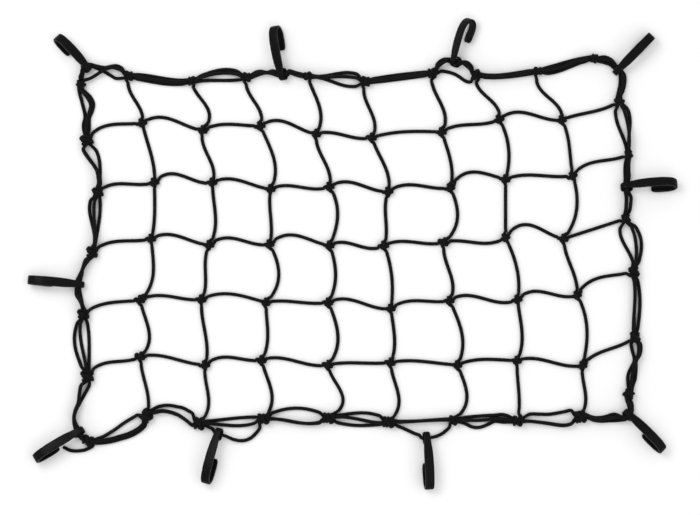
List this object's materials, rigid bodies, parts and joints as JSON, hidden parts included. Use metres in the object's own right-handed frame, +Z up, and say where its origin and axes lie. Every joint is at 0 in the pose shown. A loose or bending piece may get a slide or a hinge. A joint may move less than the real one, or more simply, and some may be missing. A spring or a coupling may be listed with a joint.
{
  "type": "elastic cargo net with hooks",
  "caption": "Black knotted elastic cord net with a doubled cord border and plastic J hooks, spread out flat, for holding down loads.",
  "frame": {"origin": "on the floor under the middle of the box round the spread net and its hooks", "axes": "+X along the net's longer side, +Y along its shorter side toward the row of three upper hooks, +Z up"},
  "size_m": [1.0706, 0.7841, 0.0306],
  "materials": {
    "netting_sheath": "black braided polyester sheath over elastic, soft sheen",
    "border_sheath": "black braided polyester sheath over elastic, soft sheen",
    "hook_plastic": "black moulded plastic, satin"
  },
  "bodies": {
    "root": {"netting": "netting_sheath", "border_cord": "border_sheath", "cord_tail": "border_sheath", "hook_top_left": "hook_plastic", "hook_top_west": "hook_plastic", "hook_top_east": "hook_plastic", "hook_top_right": "hook_plastic", "hook_right": "hook_plastic", "hook_bottom_right": "hook_plastic", "hook_bottom_east": "hook_plastic", "hook_bottom_west": "hook_plastic", "hook_bottom_left": "hook_plastic", "hook_left": "hook_plastic"}
  },
  "joints": []
}
